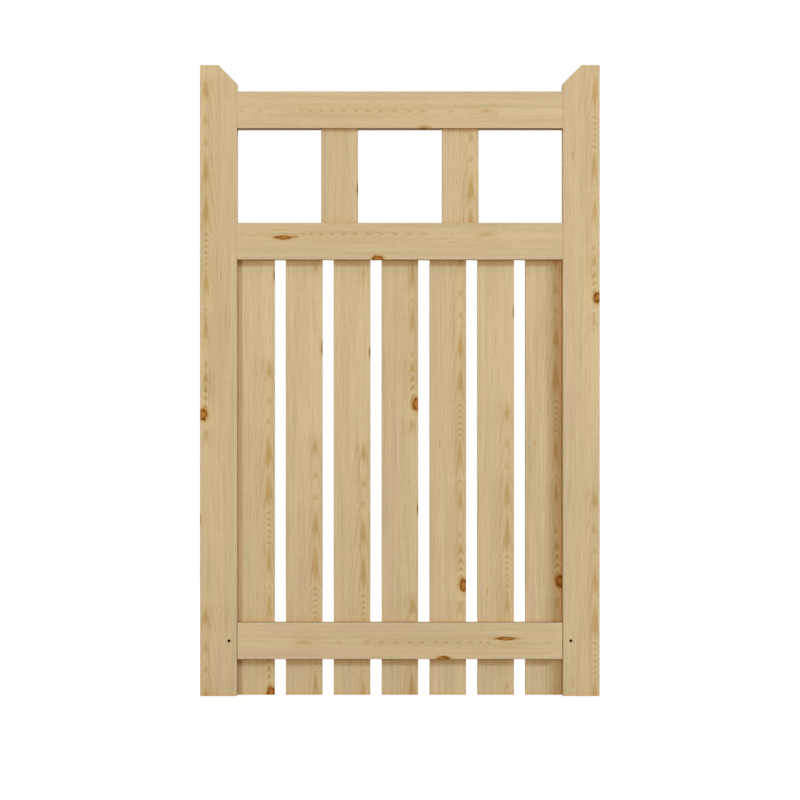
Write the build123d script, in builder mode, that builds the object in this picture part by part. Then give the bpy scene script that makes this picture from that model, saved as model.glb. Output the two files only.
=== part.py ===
from build123d import *
import os

# A softwood garden gate leaf. Two stiles and three rails make the frame, two upper slats stand in the
# open panel below the top rail, and a row of lower slats hangs behind the bottom rail. The front faces
# -Y. The origin is on the outer edge of the hanging stile, the left one seen from the front, at its
# foot and halfway through the frame's thickness.

# Driving dimensions in millimetres
gate_width = 760.0  # over both stiles
gate_height = 1200.0  # length of a stile
stile_width = 70.0
top_rail_height = 70.0
middle_rail_height = 70.0
bottom_rail_height = 70.0
bottom_rail_thickness = 25.0  # thinner than the frame, so that the slats pass behind it
slat_width = 70.0
slat_thickness = 20.0
slat_gap_wanted = 21.0  # whole slats are shared out at about this gap
upper_slat_width = 70.0
upper_slat_thickness = 20.0
upper_slat_count = 2
horn_height = 50.0  # stile above the top rail
horn_bevel = 35.0  # both legs of the bevel on a stile's inner top corner
panel_height = 180.0  # open height between the top and middle rails
foot_height = 70.0  # bottom rail above the foot of the stiles
arris_radius = 1.0  # easing of the long edges of every board

# Joinery dimensions
tenon_length = 45.0
tenon_cheek = 10.0  # stile wood in front of a tenon
tenon_shoulder = 10.0  # step above and below a tenon
rebate_web = 35.0  # full-thickness wood of the middle rail above its slat rebate
housing_depth = 15.0  # how far an upper slat is let into each rail
pin_diameter = 6.0
pin_length = 25.0
pin_sink = 8.0  # head of a pin below the face of the stile
pin_setback = 15.0  # centre of a pin from the stile's inner edge
pin_bevel = 0.6  # edge of a pin's head

# Clearances
tenon_fit = 0.2  # on each side of a tenon
tenon_end_room = 2.0  # glue room past the end of a tenon
bottom_rail_room = 1.0  # between each shoulder of the bottom rail and its stile
housing_fit = 0.2  # on each side of an upper slat's end
housing_end_room = 1.0  # above an upper slat, which stands on the middle rail
slat_side_room = 0.5  # between an outer slat and its stile
slat_end_room = 0.5  # above a slat in the rebate
pin_fit = 0.05  # around a pin

# Places across the thickness, with the front face at the lowest Y
frame_thickness = bottom_rail_thickness + slat_thickness
front_y = -frame_thickness / 2
back_y = frame_thickness / 2
bottom_rail_y = front_y + bottom_rail_thickness / 2
slat_y = back_y - slat_thickness / 2
tenon_thickness = bottom_rail_thickness - tenon_cheek
tenon_y = front_y + tenon_cheek + tenon_thickness / 2

# Places across the width
left_shoulder = stile_width
right_shoulder = gate_width - stile_width
opening_width = right_shoulder - left_shoulder
slat_room = opening_width - 2 * slat_side_room
slat_count = round((slat_room + slat_gap_wanted) / (slat_width + slat_gap_wanted))
slat_pitch = (slat_room - slat_width) / (slat_count - 1)
first_slat_x = left_shoulder + slat_side_room + slat_width / 2
upper_gap = (opening_width - upper_slat_count * upper_slat_width) / (upper_slat_count + 1)
upper_pitch = upper_slat_width + upper_gap
first_upper_x = left_shoulder + upper_gap + upper_slat_width / 2
upper_slat_places = [(first_upper_x + index * upper_pitch, 0) for index in range(upper_slat_count)]
pin_x = left_shoulder - pin_setback
centre_plane = Plane.YZ.offset(gate_width / 2)

# Places up the height
panel_top = gate_height - horn_height - top_rail_height
panel_bottom = panel_top - panel_height
slat_hang = panel_bottom - middle_rail_height
top_rail_z = panel_top + top_rail_height / 2
middle_rail_z = panel_bottom - middle_rail_height / 2
bottom_rail_z = foot_height + bottom_rail_height / 2
rebate_top = panel_bottom - rebate_web
rebate_height = rebate_top - slat_hang
slat_length = rebate_top - slat_end_room
upper_slat_length = panel_height + 2 * housing_depth - housing_end_room

# A pin's hole starts on the front face of the stile and stops where the pin stops
pin_holes = [
    Plane(origin=(x, front_y, bottom_rail_z), x_dir=(1, 0, 0), z_dir=(0, -1, 0))
    for x in (pin_x, gate_width - pin_x)
]
pin_hole_radius = pin_diameter / 2 + pin_fit
pin_hole_depth = pin_sink + pin_length


def tenon_blocks(rail_z, rail_height, shoulder_room=0.0, fit=0.0, end_room=0.0):
    """A rail's two tenons or, with a fit and end room, the mortises that take them."""
    with BuildPart() as blocks:
        for shoulder, outward in ((left_shoulder, -1), (right_shoulder, 1)):
            with BuildSketch(Plane.YZ.offset(shoulder - outward * shoulder_room)):
                with Locations((tenon_y, rail_z)):
                    Rectangle(tenon_thickness + 2 * fit, rail_height - 2 * tenon_shoulder + 2 * fit)
            extrude(amount=outward * (shoulder_room + tenon_length + end_room))
    return blocks.part


def housing_blocks(mouth_z, inward):
    """The sockets for the upper slats' ends, from the edge of a rail at mouth_z into its wood."""
    with BuildPart() as blocks:
        with BuildSketch(Plane.XY.offset(mouth_z)):
            with Locations(*upper_slat_places):
                RectangleRounded(
                    upper_slat_width + 2 * housing_fit,
                    upper_slat_thickness + 2 * housing_fit,
                    arris_radius + housing_fit,
                )
        extrude(amount=inward * housing_depth)
    return blocks.part


def save(piece, label):
    """Labels a finished piece and writes it to its own file."""
    piece.part.label = label
    export_step(piece.part, f"parts/{label}.step")


os.makedirs("parts", exist_ok=True)

# Stiles, with a mortise for each rail and a blind hole for the pin of the bottom rail's tenon
rail_places = (
    (top_rail_z, top_rail_height),
    (middle_rail_z, middle_rail_height),
    (bottom_rail_z, bottom_rail_height),
)
mortises = [
    tenon_blocks(z, height, fit=tenon_fit, end_room=tenon_end_room) for z, height in rail_places
]

with BuildPart() as left_stile:
    with BuildSketch(Plane.XZ) as stile_outline:
        Rectangle(stile_width, gate_height, align=(Align.MIN, Align.MIN))
        inner_top = stile_outline.vertices().group_by(Axis.Y)[-1].sort_by(Axis.X)[-1]
        chamfer(inner_top, length=horn_bevel)
    extrude(amount=frame_thickness / 2, both=True)
    fillet(left_stile.edges().filter_by(Axis.Z), radius=arris_radius)
    for mortise in mortises:
        add(mortise, mode=Mode.SUBTRACT)
    with Locations(pin_holes[0]):
        Hole(radius=pin_hole_radius, depth=pin_hole_depth)
save(left_stile, "left_stile")

with BuildPart() as right_stile:
    mirror(left_stile.part, about=centre_plane)
save(right_stile, "right_stile")

# Top rail, with sockets for the upper slats in its lower edge
top_tenons = tenon_blocks(top_rail_z, top_rail_height)
top_housings = housing_blocks(panel_top, 1)

with BuildPart() as top_rail:
    with BuildSketch(Plane.YZ.offset(left_shoulder)):
        with Locations((0, top_rail_z)):
            RectangleRounded(frame_thickness, top_rail_height, arris_radius)
    extrude(amount=opening_width)
    add(top_tenons)
    add(top_housings, mode=Mode.SUBTRACT)
save(top_rail, "top_rail")

# Middle rail, with sockets in its upper edge and a rebate along its lower back edge for the slats
middle_tenons = tenon_blocks(middle_rail_z, middle_rail_height)
middle_housings = housing_blocks(panel_bottom, -1)

with BuildPart() as middle_rail:
    with BuildSketch(Plane.YZ.offset(left_shoulder)):
        with Locations((0, middle_rail_z)):
            RectangleRounded(frame_thickness, middle_rail_height, arris_radius)
        with Locations((slat_y, slat_hang)):
            Rectangle(
                slat_thickness,
                rebate_height,
                align=(Align.CENTER, Align.MIN),
                mode=Mode.SUBTRACT,
            )
    extrude(amount=opening_width)
    add(middle_tenons)
    add(middle_housings, mode=Mode.SUBTRACT)
save(middle_rail, "middle_rail")

# Bottom rail, flush with the front of the stiles, its tenons bored for the pins
bottom_tenons = tenon_blocks(bottom_rail_z, bottom_rail_height, bottom_rail_room)

with BuildPart() as bottom_rail:
    with BuildSketch(Plane.YZ.offset(left_shoulder + bottom_rail_room)):
        with Locations((bottom_rail_y, bottom_rail_z)):
            RectangleRounded(bottom_rail_thickness, bottom_rail_height, arris_radius)
    extrude(amount=opening_width - 2 * bottom_rail_room)
    add(bottom_tenons)
    with Locations(*pin_holes):
        Hole(radius=pin_hole_radius, depth=pin_hole_depth)
save(bottom_rail, "bottom_rail")

# Pins that lock the bottom rail's tenons, driven in from the front
with BuildPart() as left_tenon_pin:
    with BuildSketch(Plane.XZ.offset(frame_thickness / 2 - pin_sink)):
        with Locations((pin_x, bottom_rail_z)):
            Circle(pin_diameter / 2)
    extrude(amount=-pin_length)
    pin_rim = left_tenon_pin.edges().filter_by(GeomType.CIRCLE).sort_by(Axis.Y)[0]
    chamfer(pin_rim, length=pin_bevel)
save(left_tenon_pin, "left_tenon_pin")

with BuildPart() as right_tenon_pin:
    mirror(left_tenon_pin.part, about=centre_plane)
save(right_tenon_pin, "right_tenon_pin")

# Upper slats, housed in the top and middle rails
for index, place in enumerate(upper_slat_places):
    with BuildPart() as upper_slat:
        with BuildSketch(Plane.XY.offset(panel_bottom - housing_depth)):
            with Locations(place):
                RectangleRounded(upper_slat_width, upper_slat_thickness, arris_radius)
        extrude(amount=upper_slat_length)
    save(upper_slat, f"upper_slat_{index + 1}")

# Lower slats, from the foot of the gate up into the middle rail's rebate, flush with the back
for index in range(slat_count):
    with BuildPart() as slat:
        with BuildSketch(Plane.XY):
            with Locations((first_slat_x + index * slat_pitch, slat_y)):
                RectangleRounded(slat_width, slat_thickness, arris_radius)
        extrude(amount=slat_length)
    save(slat, f"slat_{index + 1}")
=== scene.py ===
import math
from dataclasses import dataclass, field

import bmesh
import bpy
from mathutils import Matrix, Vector


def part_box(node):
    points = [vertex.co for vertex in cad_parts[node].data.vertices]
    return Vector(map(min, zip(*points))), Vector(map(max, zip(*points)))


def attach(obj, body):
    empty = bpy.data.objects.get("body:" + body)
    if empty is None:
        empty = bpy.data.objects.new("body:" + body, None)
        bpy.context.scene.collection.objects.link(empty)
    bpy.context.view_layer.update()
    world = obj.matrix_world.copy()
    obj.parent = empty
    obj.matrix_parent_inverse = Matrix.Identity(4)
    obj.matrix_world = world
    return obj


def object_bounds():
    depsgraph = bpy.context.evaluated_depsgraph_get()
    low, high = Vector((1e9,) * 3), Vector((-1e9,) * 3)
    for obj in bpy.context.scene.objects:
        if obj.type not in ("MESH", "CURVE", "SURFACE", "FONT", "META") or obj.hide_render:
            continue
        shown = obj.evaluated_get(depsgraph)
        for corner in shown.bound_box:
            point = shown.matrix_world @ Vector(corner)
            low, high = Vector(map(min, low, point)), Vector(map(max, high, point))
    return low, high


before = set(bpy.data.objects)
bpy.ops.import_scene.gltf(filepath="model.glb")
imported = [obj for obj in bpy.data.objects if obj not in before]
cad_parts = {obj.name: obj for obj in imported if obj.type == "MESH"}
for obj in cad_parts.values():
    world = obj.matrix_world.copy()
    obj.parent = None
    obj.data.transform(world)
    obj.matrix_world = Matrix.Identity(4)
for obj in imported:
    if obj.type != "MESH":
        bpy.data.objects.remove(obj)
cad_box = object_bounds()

# A planed pine garden gate in front of white. Every board is one CAD node with its own cut through a
# solid pine texture: growth rings around a wandering pith, knots, fibres and end grain, all worked out
# in three dimensions, so that faces, edges and ends agree. Wood and screws are in millimetres, the
# scene is in metres.

MM = 0.001
WHITE = (1.0, 1.0, 1.0, 1.0)
GATE_MIDDLE = (cad_box[0] + cad_box[1]) / 2
scene = bpy.context.scene


# Node building

class Graph:
    """Adds shader nodes to one tree. A value may be a number, a tuple or another node's output."""

    def __init__(self, tree):
        self.tree = tree

    def add(self, kind, inputs=(), **settings):
        node = self.tree.nodes.new("ShaderNode" + kind)
        for name, value in settings.items():
            setattr(node, name, value)
        for socket, value in inputs:
            self.feed(node.inputs[socket], value)
        return node

    def feed(self, socket, value):
        if isinstance(value, bpy.types.NodeSocket):
            self.tree.links.new(value, socket)
        else:
            socket.default_value = value

    def group(self, tree, values):
        """A node group in use, with its inputs given by name."""
        return self.add("Group", values.items(), node_tree=tree).outputs

    def math(self, operation, *values, clamp=False):
        return self.add("Math", enumerate(values), operation=operation, use_clamp=clamp).outputs[0]

    def product(self, first, *others):
        """All the values multiplied."""
        for other in others:
            first = self.math("MULTIPLY", first, other)
        return first

    def total(self, base, *parts):
        """The base plus the value times the factor of every part."""
        for value, factor in parts:
            base = self.math("MULTIPLY_ADD", value, factor, base)
        return base

    def rest(self, value):
        """What the value leaves of 1."""
        return self.math("SUBTRACT", 1.0, value)

    def vector(self, operation, *values):
        node = self.add("VectorMath", enumerate(values), operation=operation)
        return node.outputs["Value" if operation == "LENGTH" else "Vector"]

    def scale(self, vector, factor):
        node = self.add("VectorMath", [("Vector", vector), ("Scale", factor)], operation="SCALE")
        return node.outputs["Vector"]

    def split(self, vector):
        return self.add("SeparateXYZ", [("Vector", vector)]).outputs

    def join(self, x, y, z):
        return self.add("CombineXYZ", [("X", x), ("Y", y), ("Z", z)]).outputs[0]

    def step(self, value, low, high):
        """Goes smoothly from 0 at low to 1 at high."""
        ends = [("Value", value), ("From Min", low), ("From Max", high)]
        return self.add("MapRange", ends, interpolation_type="SMOOTHSTEP").outputs["Result"]

    def fade(self, value, low, high):
        """Goes smoothly from 1 at low to 0 at high."""
        return self.rest(self.step(value, low, high))

    def noise(self, place, cell, detail=2.0):
        """Noise around zero, within about half a unit, whose cells have the given size."""
        inputs = [("Vector", self.vector("DIVIDE", place, cell)), ("Scale", 1.0), ("Detail", detail)]
        return self.math("SUBTRACT", self.add("TexNoise", inputs).outputs["Fac"], 0.5)

    def mix(self, factor, a, b, blend="MIX"):
        """Two colours mixed. The node has sockets of the same name for numbers, so these go by place."""
        inputs = [(0, factor), (6, a), (7, b)]
        return self.add("Mix", inputs, data_type="RGBA", blend_type=blend).outputs[2]

    def blend_shaders(self, factor, a, b):
        """The first shader at factor 0 and the second at 1."""
        return self.add("MixShader", [(0, factor), (1, a), (2, b)]).outputs[0]

    def glow(self, kind, strength, colour=WHITE):
        """An Emission or a Background shader."""
        return self.add(kind, [("Color", colour), ("Strength", strength)]).outputs[0]

    def seen_directly(self):
        """1 for what the camera sees, straight or in a mirror or through glass, and 0 for lighting."""
        path = self.add("LightPath").outputs
        seen = self.math("MAXIMUM", path["Is Camera Ray"], path["Is Glossy Ray"])
        return self.math("MAXIMUM", seen, path["Is Transmission Ray"])


def rgb(red, green, blue):
    """A colour written in display values from 0 to 255, as the linear colour that nodes take."""
    linear = (((c / 255 + 0.055) / 1.055) ** 2.4 for c in (red, green, blue))
    return (*linear, 1.0)


def new_group(name, inputs, outputs):
    """An empty node group, with its graph and the sockets of its two end nodes."""
    tree = bpy.data.node_groups.new(name, "ShaderNodeTree")
    for direction, sockets in (("INPUT", inputs), ("OUTPUT", outputs)):
        for label, kind in sockets:
            tree.interface.new_socket(label, in_out=direction, socket_type="NodeSocket" + kind)
    given = tree.nodes.new("NodeGroupInput").outputs
    result = tree.nodes.new("NodeGroupOutput").inputs
    return tree, Graph(tree), given, result


def new_material(name):
    """A material with its graph and its Principled shader's inputs."""
    material = bpy.data.materials.new(name)
    material.use_nodes = True
    tree = material.node_tree
    return material, Graph(tree), tree.nodes["Principled BSDF"].inputs


# Pine. Places in a board are (along the grain, across it, depth behind the front face) in millimetres.

# Colours of the wood, and how much of some of them is mixed in
YELLOW_WOOD = rgb(203, 187, 150)
PINK_WOOD = rgb(209, 186, 157)
HEART_WOOD = rgb(199, 175, 133)  # over the pith, where there are flames
HEART_SHARE = 0.6
PALE_WOOD = rgb(216, 199, 160)  # over the pith where there are no flames, and around knots
CALM_SHARE = 0.4
SWIRL_SHARE = 0.65
LATE_WOOD = rgb(189, 157, 103)  # dark part of a broad ring that lies flat in the face
LEG_WOOD = rgb(171, 142, 96)  # dark part of other rings
RESIN_WOOD = rgb(158, 124, 78)  # short dashes
RESIN_SHARE = 0.35
LINE_WOOD = rgb(170, 152, 108)  # long thin lines
LINE_SHARE = 0.6
HALO_WOOD = rgb(196, 160, 106)  # wide zone around a knot
HALO_SHARE = 0.4
KNOT_EDGE = rgb(186, 143, 84)
KNOT_DARK = rgb(124, 72, 20)
KNOT_LIGHT = rgb(177, 121, 52)
CORNER_SHADE_TINT = (1.15, 0.83, 0.60, 1.0)  # painted shade: multiplies the colour deep in a corner
CORNER_SHADE_REACH = 14.0  # how far from a corner the painted shade is felt
CORNER_SHADE_SAMPLES = 8

# Rings
RING_WIDTH = 6.0  # at the pith
RING_CROWDING = 0.02  # how fast rings get narrower away from the pith
RING_UNEVENNESS = 1.6  # how far rings stray from even spacing, in rings, away from the pith
RING_UNEVEN_CELL = 12.0
RING_RIPPLES = (  # cells of noise, and how far it moves a ring
    ((160.0, 22.0, 22.0), 1.6),
    ((26.0, 5.0, 5.0), 1.4),
)
PITH_SWAY = 6.0  # how far the pith wanders across the board
PITH_HEAVE = 1.0  # how far it wanders in depth
PITH_CELL = 300.0
FLAME_REACH = 26.0  # how far from the pith the uneven run-out of the rings is felt
HEART_POWER = 3.4  # how much faster the tinted heart ends than the flames
FACING_POWER = 1.5  # how fast rings pale as they turn out of the face
TRUNK = 1000.0  # length of trunk after which the flames repeat

# Dark part of a ring, in shares of the ring
ONSET_SPREAD = 0.16  # how much its start differs from ring to ring
ASLANT_DELAY = 0.9  # how much later it starts where the ring is cut aslant
LATEST_ONSET = 0.66
DARK_RISE = 0.24
DARK_FADE = (0.72, 0.92)
DARK_FADE_SHARE = 0.35
DARK_END = (0.94, 1.0)
BROAD_ONSET = (0.35, 0.5)  # a ring is broad where its dark part starts before this

# Finer marks: their noise cells, the levels of noise at which two of them begin, and how much they shade
FIBRE_CELL = (9.0, 1.2, 1.2)
STREAK_CELL = (110.0, 1.6, 1.6)
BAND_CELL = (320.0, 9.0, 9.0)
TINT_CELL = (500.0, 20.0, 20.0)
RESIN_CELL = (11.0, 0.5, 0.5)
RESIN_RISE = (0.22, 0.32)
LINE_CELL = (100.0, 1.5, 1.5)
LINE_RISE = (0.13, 0.24)
TINT_SPREAD = 1.6
FIBRE_SHADE = 0.28
BAND_SHADE = 0.3
STREAK_SHADE = 0.3
# Darkening of end grain, and painted shade on the up and down faces of a rail
END_AND_EDGE_SHADE = 0.3

# Zones of a knot, by distance from its middle with 1 at its rim
KNOT_HALO = (1.1, 2.2)
KNOT_BORDER = (0.9, 1.4)
KNOT_INSIDE = (0.8, 1.08)
KNOT_RIM = (0.32, 0.78)
KNOT_MOTTLE = 1.8
MOTTLE_CELL = (8.0, 2.0, 2.0)
KNOT_UNEVENNESS = 0.9
UNEVEN_CELL = (12.0, 3.5, 3.5)
CLEAR_OF_KNOTS = 9.0  # distance on a board without knots
FULL_SWIRL = 16.0  # push on the rings at which the wood around a knot is palest
REACH_ABOVE, REACH_BELOW = 2.8, 1.8  # how far a knot pushes the rings, in its own radii
REACH_ACROSS, REACH_IN_DEPTH = 3.0, 2.0

# Surface, with heights in millimetres
ROUGHNESS = 0.78
FIBRE_ROUGHNESS = 0.2
LATE_ROUGHNESS = -0.1
END_ROUGHNESS = 0.15
KNOT_ROUGHNESS = -0.12
FIBRE_HEIGHT = 0.06
LATE_HEIGHT = 0.05
RESIN_HEIGHT = -0.05
KNOT_HEIGHT = 0.06
PINE_BUMP = 0.6
PINE_SPECULAR = 0.08
END_FACING = (0.5, 0.9)  # how square to the grain a face is when it counts as an end; for a rail, faces that look up or down count too

# Numbers that give every board, and every use of noise in it, wood of its own
SEED_SHIFT = (137.0, 59.0, 83.0)
SEED_LANE = 7.3
SEED_LOT = 31.0
SWAY_LANE, HEAVE_LANE, UNEVEN_LANE = 20.0, 40.0, 60.0

# How the rings run out of the face along the trunk: millimetres up the trunk, rings passed, strength of
# the dark wood and the part of a ring at which it starts. A flame has its tip where a ring is whole.
UPRIGHT_RUN = (
    (0, 0.15, 0.8, 0.4), (24, 0.2, 1.0, 0.35), (52, 0.25, 1.0, 0.25), (80, 1, 1.0, 0.25),
    (86, 1.3, 0.6, 0.4), (104, 2, 0.6, 0.4), (112, 2.15, 0.5, 0.3), (140, 2.3, 0.8, 0.3),
    (190, 3, 0.9, 0.3), (205, 4, 0.3, 0.5), (214, 4.2, 0.8, 0.3), (280, 5, 1.0, 0.3),
    (290, 6, 0.8, 0.5), (301, 7, 0.8, 0.5), (312, 8, 0.8, 0.5), (323, 9, 0.8, 0.5),
    (334, 10, 0.8, 0.5), (346, 11, 0.8, 0.5), (352, 11.25, 1.0, 0.25), (422, 12, 1.0, 0.25),
    (429, 12.25, 1.0, 0.25), (490, 13, 1.0, 0.25), (508, 13.4, 0.5, 0.4), (525, 14, 0.6, 0.4),
    (545, 14.4, 0.5, 0.4), (568, 15, 0.7, 0.4), (588, 15.2, 0.5, 0.3), (596, 15.3, 0.9, 0.3),
    (632, 16, 0.9, 0.3), (645, 16.1, 0.1, 0.4), (930, 16.15, 0.1, 0.4), (944, 16.3, 0.6, 0.35),
    (968, 17, 0.6, 0.35), (976, 17.1, 0.15, 0.4), (1000, 17.15, 0.8, 0.4),
)
RAIL_RUN = (
    (0, 0.15, 0.3, 0.5), (28, 0.4, 0.5, 0.5), (38, 1, 0.8, 0.5), (53, 2, 0.8, 0.5),
    (76, 3, 0.8, 0.5), (97, 4, 0.8, 0.5), (119, 5, 0.8, 0.5), (142, 6, 0.8, 0.5),
    (167, 7, 0.8, 0.5), (190, 8, 0.8, 0.5), (218, 9, 0.8, 0.5), (245, 10, 0.8, 0.5),
    (273, 11, 0.8, 0.5), (280, 11.2, 0.4, 0.4), (312, 11.4, 0.5, 0.4), (327, 12, 0.6, 0.4),
    (334, 12.2, 0.4, 0.3), (362, 12.3, 0.8, 0.3), (405, 13, 0.9, 0.3), (412, 13.1, 0.2, 0.4),
    (900, 13.2, 0.15, 0.5), (930, 14, 0.4, 0.5), (965, 15, 0.4, 0.5), (1000, 15.15, 0.3, 0.5),
)


def build_run_out(name, stations):
    """Rings passed along the trunk, an even climb and an extra, and the dark wood's strength and start."""
    tree, g, given, result = new_group(
        name, [("Along", "Float")],
        [("Even", "Float"), ("Extra", "Float"), ("Strength", "Float"), ("Onset", "Float")],
    )
    places, passed, strengths, onsets = zip(*stations)
    first = passed[0]
    rings = passed[-1] - first
    phase = g.math("DIVIDE", given["Along"], TRUNK)
    turn = g.math("FRACT", phase)

    def curve(heights):
        """Straight lines through the heights at the stations."""
        node = g.add("FloatCurve", [("Value", turn)])
        points = node.mapping.curves[0].points
        while len(points) < len(heights):
            points.new(0.5, 0.5)
        for point, place, height in zip(points, places, heights):
            point.location = (place / TRUNK, height)
            point.handle_type = "VECTOR"
        node.mapping.update()
        return node.outputs["Value"]

    share = curve([(count - first) / rings for count in passed])
    g.feed(result["Even"], g.math("MULTIPLY_ADD", phase, rings, first))
    g.feed(result["Extra"], g.math("MULTIPLY", g.math("SUBTRACT", share, turn), rings))
    g.feed(result["Strength"], curve(strengths))
    g.feed(result["Onset"], curve(onsets))
    return tree


def build_pine():
    """The pine itself: colour, roughness and height at a place in a board."""
    tree, g, given, result = new_group(
        "pine",
        [
            ("Board", "Vector"), ("Seed", "Float"), ("Pith Across", "Float"), ("Pith Depth", "Float"),
            ("Even", "Float"), ("Extra", "Float"), ("Strength", "Float"), ("Onset", "Float"),
            ("Figure", "Float"), ("Legs", "Float"), ("Tone", "Float"), ("Streaks", "Float"),
            ("Knot", "Float"), ("Push", "Float"), ("End", "Float"), ("Corner Shade", "Float"),
        ],
        [("Color", "Color"), ("Roughness", "Float"), ("Height", "Float")],
    )
    board, seed = given["Board"], given["Seed"]
    along, across, depth = g.split(board)
    space = g.vector("ADD", board, g.scale(SEED_SHIFT, seed))

    def wander(place, lane, cell):
        """Noise along one line."""
        own_lane = g.math("MULTIPLY_ADD", seed, SEED_LANE, lane)
        return g.noise(g.join(place, own_lane, 0.0), (cell, 1.0, 1.0))

    # The trunk tapers, so its rings run out of the face as flames that point up the trunk
    pith_across = g.total(given["Pith Across"], (wander(along, SWAY_LANE, PITH_CELL), PITH_SWAY))
    pith_depth = g.total(given["Pith Depth"], (wander(along, HEAVE_LANE, PITH_CELL), PITH_HEAVE))
    behind = g.math("SUBTRACT", depth, pith_depth)
    radius = g.vector("LENGTH", g.join(g.math("SUBTRACT", across, pith_across), behind, 0.0))
    facing = g.math("POWER", g.math("DIVIDE", g.math("ABSOLUTE", behind), radius), FACING_POWER)
    face_radius = g.math("ABSOLUTE", given["Pith Depth"])
    away = g.math("SUBTRACT", g.product(radius, radius), g.product(face_radius, face_radius))
    near = g.math("EXPONENT", g.math("DIVIDE", away, -FLAME_REACH ** 2))
    climb = g.total(given["Even"], (given["Extra"], near))
    for cell, distance in RING_RIPPLES:
        radius = g.total(radius, (g.noise(space, cell), distance))
    radius = g.math("SUBTRACT", radius, given["Push"])

    # Rings of uneven width, dark towards their outer side. They are widest and darkest where they lie flat.
    def crowd(value):
        return g.product(value, g.total(1.0, (value, RING_CROWDING)))

    outward = g.math("SUBTRACT", crowd(radius), crowd(face_radius))
    straying = g.product(g.rest(near), RING_UNEVENNESS)
    ring = g.total(
        climb, (outward, 1 / RING_WIDTH), (wander(radius, UNEVEN_LANE, RING_UNEVEN_CELL), straying),
    )
    part = g.math("FRACT", ring)
    lot = g.math("MULTIPLY_ADD", seed, SEED_LOT, g.math("FLOOR", ring))
    draw = g.add("TexWhiteNoise", [("W", lot)], noise_dimensions="1D").outputs["Value"]
    onset = g.math("ADD", given["Onset"], -ONSET_SPREAD / 2)
    onset = g.total(onset, (draw, ONSET_SPREAD), (g.rest(facing), ASLANT_DELAY))
    onset = g.math("MINIMUM", onset, LATEST_ONSET)
    flat = g.total(given["Legs"], (facing, g.rest(given["Legs"])))
    flame = g.product(given["Strength"], given["Figure"])
    late = g.product(
        g.step(part, onset, g.math("ADD", onset, DARK_RISE)),
        g.total(1.0, (g.step(part, *DARK_FADE), -DARK_FADE_SHARE)),
        g.fade(part, *DARK_END),
        flat,
        flame,
    )
    broad_ring = g.fade(given["Onset"], *BROAD_ONSET)
    late_colour = g.mix(g.product(facing, broad_ring), LEG_WOOD, LATE_WOOD)

    # Zones over the pith and around knots, and the finer marks
    pith_zone = g.math("POWER", near, HEART_POWER)
    heart = g.product(pith_zone, flame)
    calm = g.math("SUBTRACT", pith_zone, heart)
    swirl = g.math("DIVIDE", given["Push"], FULL_SWIRL, clamp=True)
    fibre = g.noise(space, FIBRE_CELL, detail=3.0)
    streak = g.noise(space, STREAK_CELL)
    band = g.noise(space, BAND_CELL)
    resin = g.step(g.noise(space, RESIN_CELL, detail=0.0), *RESIN_RISE)
    line = g.step(g.noise(space, LINE_CELL, detail=1.0), *LINE_RISE)

    wood = g.mix(
        g.math("MULTIPLY_ADD", g.noise(space, TINT_CELL), TINT_SPREAD, 0.5, clamp=True),
        YELLOW_WOOD, PINK_WOOD,
    )
    layers = (
        (g.product(heart, HEART_SHARE), HEART_WOOD),
        (g.product(calm, CALM_SHARE), PALE_WOOD),
        (g.product(swirl, SWIRL_SHARE), PALE_WOOD),
        (late, late_colour),
        (g.product(resin, RESIN_SHARE), RESIN_WOOD),
        (g.product(line, given["Streaks"], LINE_SHARE), LINE_WOOD),
    )
    for amount, colour in layers:
        wood = g.mix(amount, wood, colour)
    streak_shade = g.product(given["Streaks"], STREAK_SHADE)
    shade = g.total(1.0, (band, BAND_SHADE), (fibre, FIBRE_SHADE), (streak, streak_shade))
    # End grain is darker; the up and down faces of a rail are darker too, as painted shade
    shade = g.product(shade, g.total(1.0, (given["End"], -END_AND_EDGE_SHADE)), given["Tone"])
    wood = g.mix(1.0, wood, g.join(shade, shade, shade), "MULTIPLY")

    # Knots: a golden halo in the wood, an orange border, a dark rim and a mottled middle
    knot = given["Knot"]
    mottled = g.total(knot, (g.noise(space, MOTTLE_CELL), KNOT_MOTTLE))
    knot_colour = g.mix(g.step(mottled, *KNOT_RIM), KNOT_LIGHT, KNOT_DARK)
    inside = g.fade(knot, *KNOT_INSIDE)
    knot_layers = (
        (g.product(g.fade(knot, *KNOT_HALO), HALO_SHARE), HALO_WOOD),
        (g.fade(knot, *KNOT_BORDER), KNOT_EDGE),
        (inside, knot_colour),
    )
    for amount, colour in knot_layers:
        wood = g.mix(amount, wood, colour)
    # Painted shade: the colour is made darker and warmer deep in corners
    shaded_in_corner = g.mix(1.0, wood, CORNER_SHADE_TINT, "MULTIPLY")
    g.feed(result["Color"], g.mix(given["Corner Shade"], wood, shaded_in_corner))

    g.feed(result["Roughness"], g.total(
        ROUGHNESS, (fibre, FIBRE_ROUGHNESS), (late, LATE_ROUGHNESS), (given["End"], END_ROUGHNESS),
        (inside, KNOT_ROUGHNESS),
    ))
    g.feed(result["Height"], g.total(
        0.0, (late, LATE_HEIGHT), (fibre, FIBRE_HEIGHT), (resin, RESIN_HEIGHT), (inside, KNOT_HEIGHT),
    ))
    return tree


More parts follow.
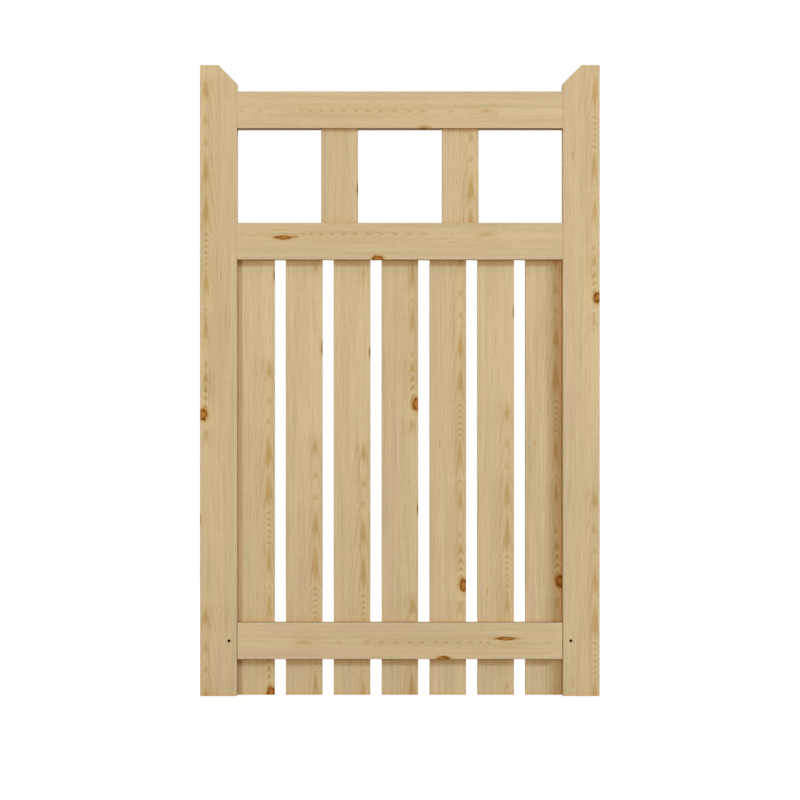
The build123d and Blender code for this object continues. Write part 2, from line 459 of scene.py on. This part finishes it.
def build_knot():
    """How far a place is from a knot's middle, 1 at its rim, and how far the knot pushes the rings out."""
    tree, g, given, result = new_group(
        "knot",
        [
            ("Board", "Vector"), ("Middle", "Vector"), ("Radii", "Vector"), ("Power", "Float"),
            ("Faint", "Float"), ("Strength", "Float"),
        ],
        [("Knot", "Float"), ("Push", "Float")],
    )
    offset = g.vector("DIVIDE", g.vector("SUBTRACT", given["Board"], given["Middle"]), given["Radii"])
    along, across, depth = g.split(offset)
    powers = 0.0
    for side in (along, across, depth):
        powers = g.math("ADD", powers, g.math("POWER", g.math("ABSOLUTE", side), given["Power"]))
    distance = g.math("POWER", powers, g.math("DIVIDE", 1.0, given["Power"]))
    uneven = g.total(1.0, (g.noise(given["Board"], UNEVEN_CELL), KNOT_UNEVENNESS))
    g.feed(result["Knot"], g.math("MAXIMUM", g.product(distance, uneven), given["Faint"]))
    above = g.math("DIVIDE", g.math("MAXIMUM", along, 0.0), REACH_ABOVE)
    below = g.math("DIVIDE", g.math("MINIMUM", along, 0.0), REACH_BELOW)
    beside = g.math("DIVIDE", across, REACH_ACROSS)
    within = g.math("DIVIDE", depth, REACH_IN_DEPTH)
    reach = g.vector("LENGTH", g.join(g.math("ADD", above, below), beside, within))
    fall = g.math("EXPONENT", g.product(reach, reach, -1.0))
    g.feed(result["Push"], g.product(fall, given["Strength"]))
    return tree


@dataclass
class Knot:
    """A knot or dark mark by its middle in the gate, its half length along the grain and half width."""

    x: float
    z: float
    half_length: float
    half_width: float
    depth: float = 0.0  # of its middle, behind the front face
    half_depth: float = 30.0
    push: float = 14.0  # how far it moves the rings at its middle
    power: float = 2.0  # 2 is round, less is pointed
    faint: float = 0.0  # keeps the mark at the colour that a knot has this share of the way to its rim


@dataclass
class Cut:
    """How a board is cut from the log, and its knots. Across the grain, right and up are positive."""

    start: float  # where along the board, in the gate, its length of trunk starts
    pith_across: float  # from the board's centre line
    figure: float  # strength of its flames
    knots: list = field(default_factory=list)
    way: int = 1  # -1 where the trunk goes down or left
    tone: float = 1.0  # lightness of the whole board


@dataclass
class Grain:
    """What uprights and rails differ in."""

    run_out: object  # node group
    pith_depth: float  # below zero, the pith is in front of the face
    legs: float  # strength that the dark wood keeps where a ring is cut aslant
    streaks: float  # strength of long streaks and lines


def edge_mark(x, z, half_length):
    """A thin dark streak on the edge of a board."""
    return Knot(x, z, half_length, 2.0, depth=4.0, half_depth=6.0, push=0.0)


def tick(x, z, half_length, faint=1.16):
    """A short resin streak."""
    return Knot(x, z, half_length, 1.1, half_depth=8.0, push=1.5, power=1.4, faint=faint)


CUTS = {
    "left_stile": Cut(534.6, -24, 1.0, [
        Knot(5.4, 535.2, 12, 8.2, push=22), edge_mark(0.0, 336.0, 15), tick(39.8, 800.7, 7),
    ], tone=0.98),
    "right_stile": Cut(757.5, 25, 0.85, [
        Knot(755.8, 757.5, 11, 8.0, push=22), tick(709, 1029, 7), tick(709, 25, 7),
    ]),
    "top_rail": Cut(158, -2, 0.8, [
        Knot(426.6, 1080.5, 10, 4.0, push=3, faint=1.08), Knot(424.0, 1079.5, 6, 1.6, push=0),
    ], tone=0.98),
    "middle_rail": Cut(157.7, 13.7, 0.8, [
        Knot(158.5, 872.0, 18, 3.8, half_depth=12, push=4, power=1.7),
        Knot(177.0, 873.8, 11, 1.8, half_depth=12, push=1, power=1.4, faint=1.02),
        tick(152, 886, 13, 1.3),
        Knot(337.6, 832, 11, 6, push=5),
    ], tone=0.97),
    "bottom_rail": Cut(583.7, -3, 0.8, [
        Knot(581.0, 109.4, 19, 3.3, half_depth=12, push=4, power=1.7),
        Knot(600.0, 109.8, 8, 1.6, half_depth=12, push=1, power=1.4, faint=1.06),
        tick(583, 92.6, 15, 1.3),
        Knot(463.4, 71.0, 12.5, 5.2, push=5),
    ], way=-1),
    "upper_slat_1": Cut(1166, 24, 1.0, [edge_mark(299.5, 962, 16)], tone=0.94),
    "upper_slat_2": Cut(506, 20, 1.0),
    "slat_1": Cut(4, 24, 1.0, [Knot(134.4, 3.5, 12, 8.6, push=22), edge_mark(140.0, 801, 11)]),
    "slat_2": Cut(-140.5, 22, 1.0, [edge_mark(231.5, 662, 14)]),
    "slat_3": Cut(-154, 22, 1.0, [edge_mark(323.0, 654, 14)]),
    "slat_4": Cut(555.5, 24, 1.0, [
        Knot(411.6, 555.5, 13.0, 8.0, push=22), edge_mark(414.5, 357, 15),
    ], tone=0.97),
    "slat_5": Cut(209.4, 23, 1.0, [
        Knot(502.0, 209.4, 12.2, 8.6, push=22), tick(456.3, 481.3, 6),
    ]),
    "slat_6": Cut(-79.6, 22, 0.88, [edge_mark(597.5, 732, 12), tick(546.6, 198, 7)]),
    "slat_7": Cut(217, 24, 1.0, [Knot(685.6, 217, 12.2, 8.8, push=22), tick(637.8, 481, 6)]),
}

UPRIGHT_GRAIN = Grain(build_run_out("upright_run", UPRIGHT_RUN), pith_depth=-5.0, legs=0.4, streaks=1.0)
RAIL_GRAIN = Grain(build_run_out("rail_run", RAIL_RUN), pith_depth=-2.5, legs=0.1, streaks=0.5)
pine = build_pine()
knot_group = build_knot()


def pine_material(name, cut, seed):
    """Pine for one board, in places measured from the board's own front face and centre line."""
    low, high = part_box(name)
    upright = high.z - low.z > high.x - low.x
    grain = UPRIGHT_GRAIN if upright else RAIL_GRAIN
    centre = (low + high) / 2
    centre_line = (centre.x if upright else centre.z) / MM
    material, g, shader = new_material("pine_" + name)
    where = g.add("TexCoord").outputs
    x, y, z = g.split(g.scale(where["Object"], 1 / MM))
    along, across = (z, x) if upright else (x, z)
    depth = g.math("SUBTRACT", y, low.y / MM)
    board = g.join(along, g.math("SUBTRACT", across, centre_line), depth)
    up_trunk = g.product(g.math("SUBTRACT", along, cut.start), cut.way)
    run_out = g.group(grain.run_out, {"Along": up_trunk})

    # Ends are darker, as end grain is, and the edges of a rail that face up or down are darker too, which
    # is painted shade
    normal = g.split(where["Normal"])
    end_on = g.math("ABSOLUTE", normal["Z" if upright else "X"])
    level = g.math("ABSOLUTE", normal["Z"])
    end = g.step(g.math("MAXIMUM", end_on, level), *END_FACING)

    nearest, push = CLEAR_OF_KNOTS, 0.0
    for knot in cut.knots:
        knot_along, knot_across = (knot.z, knot.x) if upright else (knot.x, knot.z)
        found = g.group(knot_group, {
            "Board": board,
            "Middle": (knot_along, knot_across - centre_line, knot.depth),
            "Radii": (knot.half_length, knot.half_width, knot.half_depth),
            "Power": knot.power,
            "Faint": knot.faint,
            "Strength": knot.push,
        })
        nearest = g.math("MINIMUM", nearest, found["Knot"])
        push = g.math("ADD", push, found["Push"])

    # Ambient occlusion finds the corners that get painted shade
    corner_shade_probe = g.add("AmbientOcclusion", [("Distance", CORNER_SHADE_REACH * MM)], samples=CORNER_SHADE_SAMPLES)
    wood = g.group(pine, {
        "Board": board,
        "Seed": seed,
        "Pith Across": cut.pith_across,
        "Pith Depth": grain.pith_depth,
        "Even": run_out["Even"],
        "Extra": run_out["Extra"],
        "Strength": run_out["Strength"],
        "Onset": run_out["Onset"],
        "Figure": cut.figure,
        "Legs": grain.legs,
        "Tone": cut.tone,
        "Streaks": grain.streaks,
        "Knot": nearest,
        "Push": push,
        "End": end,
        "Corner Shade": g.rest(corner_shade_probe.outputs["AO"]),
    })
    bump = g.add("Bump", [("Height", wood["Height"]), ("Distance", MM), ("Strength", PINE_BUMP)])
    g.feed(shader["Base Color"], wood["Color"])
    g.feed(shader["Roughness"], wood["Roughness"])
    g.feed(shader["Normal"], bump.outputs["Normal"])
    g.feed(shader["Specular IOR Level"], PINE_SPECULAR)
    return material


def dress(obj, material):
    """Gives a piece its one material."""
    obj.data.materials.clear()
    obj.data.materials.append(material)


for index, (name, cut) in enumerate(CUTS.items()):
    dress(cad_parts[name], pine_material(name, cut, index + 1.0))


# Steel of the pins and screws, dull and dark brown, with lighter brown specks; on the sunk pins the dark
# colour is partly painted shade of their holes

# Dark brown: the steel's colour, and on the pins also painted shade for the bottom of their holes
STEEL_AND_HOLE_SHADE = rgb(74, 54, 24)
STEEL_SPECKS = rgb(92, 62, 24)
SPECK_CELL = (1.7, 1.7, 1.7)
SPECK_RISE = (0.06, 0.16)
STEEL_GRAIN_CELL = (0.6, 0.6, 0.6)
STEEL_ROUGHNESS = 0.62
STEEL_ROUGHNESS_SPREAD = 0.3
STEEL_BUMP = 0.6
STEEL_BUMP_HEIGHT = 0.05
STEEL_METALLIC = 0.35
STEEL_SPECULAR = 0.2


def steel_material():
    """The one steel that pins and screws share."""
    material, g, shader = new_material("dark_steel")
    place = g.scale(g.add("TexCoord").outputs["Object"], 1 / MM)
    grain = g.noise(place, STEEL_GRAIN_CELL, detail=3.0)
    specks = g.step(g.noise(place, SPECK_CELL), *SPECK_RISE)
    heights = [("Height", grain), ("Distance", STEEL_BUMP_HEIGHT * MM), ("Strength", STEEL_BUMP)]
    g.feed(shader["Base Color"], g.mix(specks, STEEL_AND_HOLE_SHADE, STEEL_SPECKS))
    g.feed(shader["Roughness"], g.total(STEEL_ROUGHNESS, (grain, STEEL_ROUGHNESS_SPREAD)))
    g.feed(shader["Normal"], g.add("Bump", heights).outputs["Normal"])
    g.feed(shader["Metallic"], STEEL_METALLIC)
    g.feed(shader["Specular IOR Level"], STEEL_SPECULAR)
    return material


dark_steel = steel_material()
# The pins' dark colour is partly painted shade, standing in for the shade down their holes
for name in ("left_tenon_pin", "right_tenon_pin"):
    dress(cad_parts[name], dark_steel)


# Screws that hold the slats from the back: raised heads with a cross recess

HEAD_RADIUS = 4.0
HEAD_RISE = 1.3
HEAD_ROUNDNESS = 0.97  # 1 would bring the dome down to the wood at its rim
HEAD_FOOT = 0.3  # how far the rim reaches into the wood
HEAD_SPOKES = 64
HEAD_HOOPS = 16
CROSS_LENGTH = 4.6
CROSS_WIDTH = 1.1
CROSS_DEPTH = 1.0
CROSS_SIDE_SLOPE = 0.25  # breadth of the slope at an arm's side
CROSS_TIP_SLOPE = 0.5  # breadth of the slope at an arm's tip
SCREW_SIDE = 19.0  # screws left and right of a slat's centre line
SCREW_STEP = 14.0  # screws above and below the bottom rail's centre line
SCREW_TURN = 0.7  # radians from one screw's recess to the next one's


def cross_recess(x, z):
    """How far the recess goes down at a place on the head."""
    def arm(a, b):
        side = (CROSS_WIDTH / 2 - abs(a)) / CROSS_SIDE_SLOPE + 0.5
        tip = (CROSS_LENGTH / 2 - abs(b)) / CROSS_TIP_SLOPE
        return max(0.0, min(1.0, side)) * max(0.0, min(1.0, tip))
    return CROSS_DEPTH * max(arm(x, z), arm(z, x))


def add_screw_head(mesh, middle, turn):
    """Adds one head to the mesh, standing on the back face at middle."""
    rings = []
    for hoop in range(1, HEAD_HOOPS + 1):
        share = hoop / HEAD_HOOPS
        ring = []
        for spoke in range(HEAD_SPOKES):
            angle = 2 * math.pi * spoke / HEAD_SPOKES
            x = share * HEAD_RADIUS * math.cos(angle)
            z = share * HEAD_RADIUS * math.sin(angle)
            dome = HEAD_RISE * math.sqrt(1 - HEAD_ROUNDNESS * share ** 2)
            place = Vector((
                x * math.cos(turn) - z * math.sin(turn),
                dome - cross_recess(x, z),
                x * math.sin(turn) + z * math.cos(turn),
            ))
            ring.append(mesh.verts.new(middle + place * MM))
        rings.append(ring)
    foot = [mesh.verts.new((v.co.x, middle.y - HEAD_FOOT * MM, v.co.z)) for v in rings[-1]]
    rings.append(foot)
    top = mesh.verts.new(middle + Vector((0, (HEAD_RISE - CROSS_DEPTH) * MM, 0)))
    for spoke in range(HEAD_SPOKES):
        after = (spoke + 1) % HEAD_SPOKES
        mesh.faces.new((top, rings[0][after], rings[0][spoke]))
        for inner, outer in zip(rings, rings[1:]):
            mesh.faces.new((inner[spoke], inner[after], outer[after], outer[spoke]))
    mesh.faces.new(foot)


def add_object(name, mesh, material):
    """Turns a finished mesh into an object of the scene, with one material."""
    data = bpy.data.meshes.new(name)
    mesh.to_mesh(data)
    mesh.free()
    data.materials.append(material)
    made = bpy.data.objects.new(name, data)
    scene.collection.objects.link(made)
    return made


def add_screws(name, places):
    """One piece with a screw head at every place."""
    mesh = bmesh.new()
    for index, place in enumerate(places):
        add_screw_head(mesh, place, SCREW_TURN * index)
    bmesh.ops.recalc_face_normals(mesh, faces=mesh.faces)
    for face in mesh.faces:
        face.smooth = True
    screws = add_object(name, mesh, dark_steel)
    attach(screws, "root")


middle_low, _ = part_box("middle_rail")
bottom_low, bottom_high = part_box("bottom_rail")
lower_z = (bottom_low.z + bottom_high.z) / 2
upper_places = []
lower_places = []
for low, high in [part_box(name) for name in CUTS if name.startswith("slat_")]:
    upper_z = (middle_low.z + high.z) / 2
    for side in (-1, 1):
        x = (low.x + high.x) / 2 + side * SCREW_SIDE * MM
        upper_places.append(Vector((x, high.y, upper_z)))
        lower_places.append(Vector((x, high.y, lower_z + side * SCREW_STEP * MM)))
add_screws("middle_rail_screws", upper_places)
add_screws("bottom_rail_screws", lower_places)


# Floor, white to the camera apart from the object's shadow, and dim to the light that the wood gets back

FLOOR_HALF = 6.0  # metres from its middle to a side
FLOOR_DROP = 0.0005  # metres below the foot of the gate
FLOOR_GLOW = 0.84
FLOOR_LIT = (0.32, 0.32, 0.32, 1.0)  # reflects what the lamps add to the glow outside the shadow
FLOOR_BOUNCE = (0.44, 0.355, 0.265, 1.0)
SHADOW_ENDS = (1.5, 4.0)  # metres from the gate over which the shadow gives way to white


def floor_material():
    """White with a soft shadow where it is seen, and warm and dim where it only lights the wood."""
    material = bpy.data.materials.new("pale_floor")
    material.use_nodes = True
    material.node_tree.nodes.clear()
    g = Graph(material.node_tree)
    lit = g.add("BsdfDiffuse", [("Color", FLOOR_LIT)]).outputs[0]
    near = g.add("AddShader", [(0, g.glow("Emission", FLOOR_GLOW)), (1, lit)]).outputs[0]
    distance = g.vector("LENGTH", g.add("TexCoord").outputs["Object"])
    shown = g.blend_shaders(g.step(distance, *SHADOW_ENDS), near, g.glow("Emission", 1.0))
    bounce = g.add("BsdfDiffuse", [("Color", FLOOR_BOUNCE)]).outputs[0]
    surface = g.blend_shaders(g.seen_directly(), bounce, shown)
    g.feed(g.add("OutputMaterial").inputs["Surface"], surface)
    return material


floor_mesh = bmesh.new()
bmesh.ops.create_grid(floor_mesh, x_segments=1, y_segments=1, size=FLOOR_HALF)
floor = add_object("floor", floor_mesh, floor_material())
floor.location = (GATE_MIDDLE.x, GATE_MIDDLE.y, cad_box[0].z - FLOOR_DROP)


# Light: a cool key from the right, a nearly neutral lamp from the left, two lamps behind the gate, and a
# warm sky that is weaker overhead and on the left

LAMPS = (  # name, place, width, height, power, colour
    ("key", (7.4, -7.0, 4.1), 3.6, 0.65, 460.0, (0.71, 0.99, 1.14)),
    ("left", (-3.0, -8.0, 1.2), 1.0, 0.8, 190.0, (1.02, 1.0, 0.79)),
    ("back_left", (-1.2, 7.5, 4.2), 3.0, 3.0, 250.0, (0.88, 1.0, 1.12)),
    ("back_right", (2.6, 7.5, 3.6), 3.0, 3.0, 240.0, (0.88, 1.0, 1.12)),
)
SKY_COLOUR = (1.27, 1.0, 0.79, 1.0)
SKY_STRENGTH = 0.89
SKY_LOSS_OVERHEAD = 0.62
SKY_LOSS_LEFT = 0.40


def add_lamp(name, place, width, height, power, colour):
    """A rectangular lamp that points at the middle of the gate."""
    data = bpy.data.lights.new(name, "AREA")
    data.shape = "RECTANGLE"
    data.size = width
    data.size_y = height
    data.energy = power
    data.color = colour
    lamp = bpy.data.objects.new(name, data)
    lamp.location = place
    lamp.rotation_euler = (GATE_MIDDLE - Vector(place)).to_track_quat("-Z", "Y").to_euler()
    scene.collection.objects.link(lamp)


def add_sky():
    """White where it is seen, and the warm sky where it only lights the gate."""
    world = bpy.data.worlds.new("studio")
    scene.world = world
    world.use_nodes = True
    world.node_tree.nodes.clear()
    g = Graph(world.node_tree)
    right, _, up = g.split(g.add("TexCoord").outputs["Generated"])
    overhead = g.math("MAXIMUM", up, 0.0)
    left = g.math("MINIMUM", right, 0.0)
    strength = g.total(SKY_STRENGTH, (overhead, -SKY_LOSS_OVERHEAD), (left, SKY_LOSS_LEFT))
    sky = g.glow("Background", g.math("MAXIMUM", strength, 0.0), SKY_COLOUR)
    surface = g.blend_shaders(g.seen_directly(), sky, g.glow("Background", 1.0))
    g.feed(g.add("OutputWorld").inputs["Surface"], surface)


for lamp in LAMPS:
    add_lamp(*lamp)
add_sky()


# Camera, square to the gate's front, a little below its middle

CAMERA_DISTANCE = 5.5  # metres in front of the gate
CAMERA_SIDE = 0.0002  # metres right of the gate's middle
CAMERA_DROP = 0.0369  # metres below the gate's middle
PIXELS_PER_METRE = 525.9  # in the plane of the gate's front
IMAGE_WIDTH = 800
SENSOR_WIDTH = 36.0
camera_data = bpy.data.cameras.new("camera")
camera_data.sensor_fit = "HORIZONTAL"
camera_data.sensor_width = SENSOR_WIDTH
camera_data.lens = SENSOR_WIDTH * PIXELS_PER_METRE * CAMERA_DISTANCE / IMAGE_WIDTH
camera = bpy.data.objects.new("camera", camera_data)
camera.location = (
    GATE_MIDDLE.x + CAMERA_SIDE, cad_box[0].y - CAMERA_DISTANCE, GATE_MIDDLE.z - CAMERA_DROP,
)
camera.rotation_euler = (math.pi / 2, 0, 0)
scene.collection.objects.link(camera)
scene.camera = camera

scene.view_settings.view_transform = "Standard"
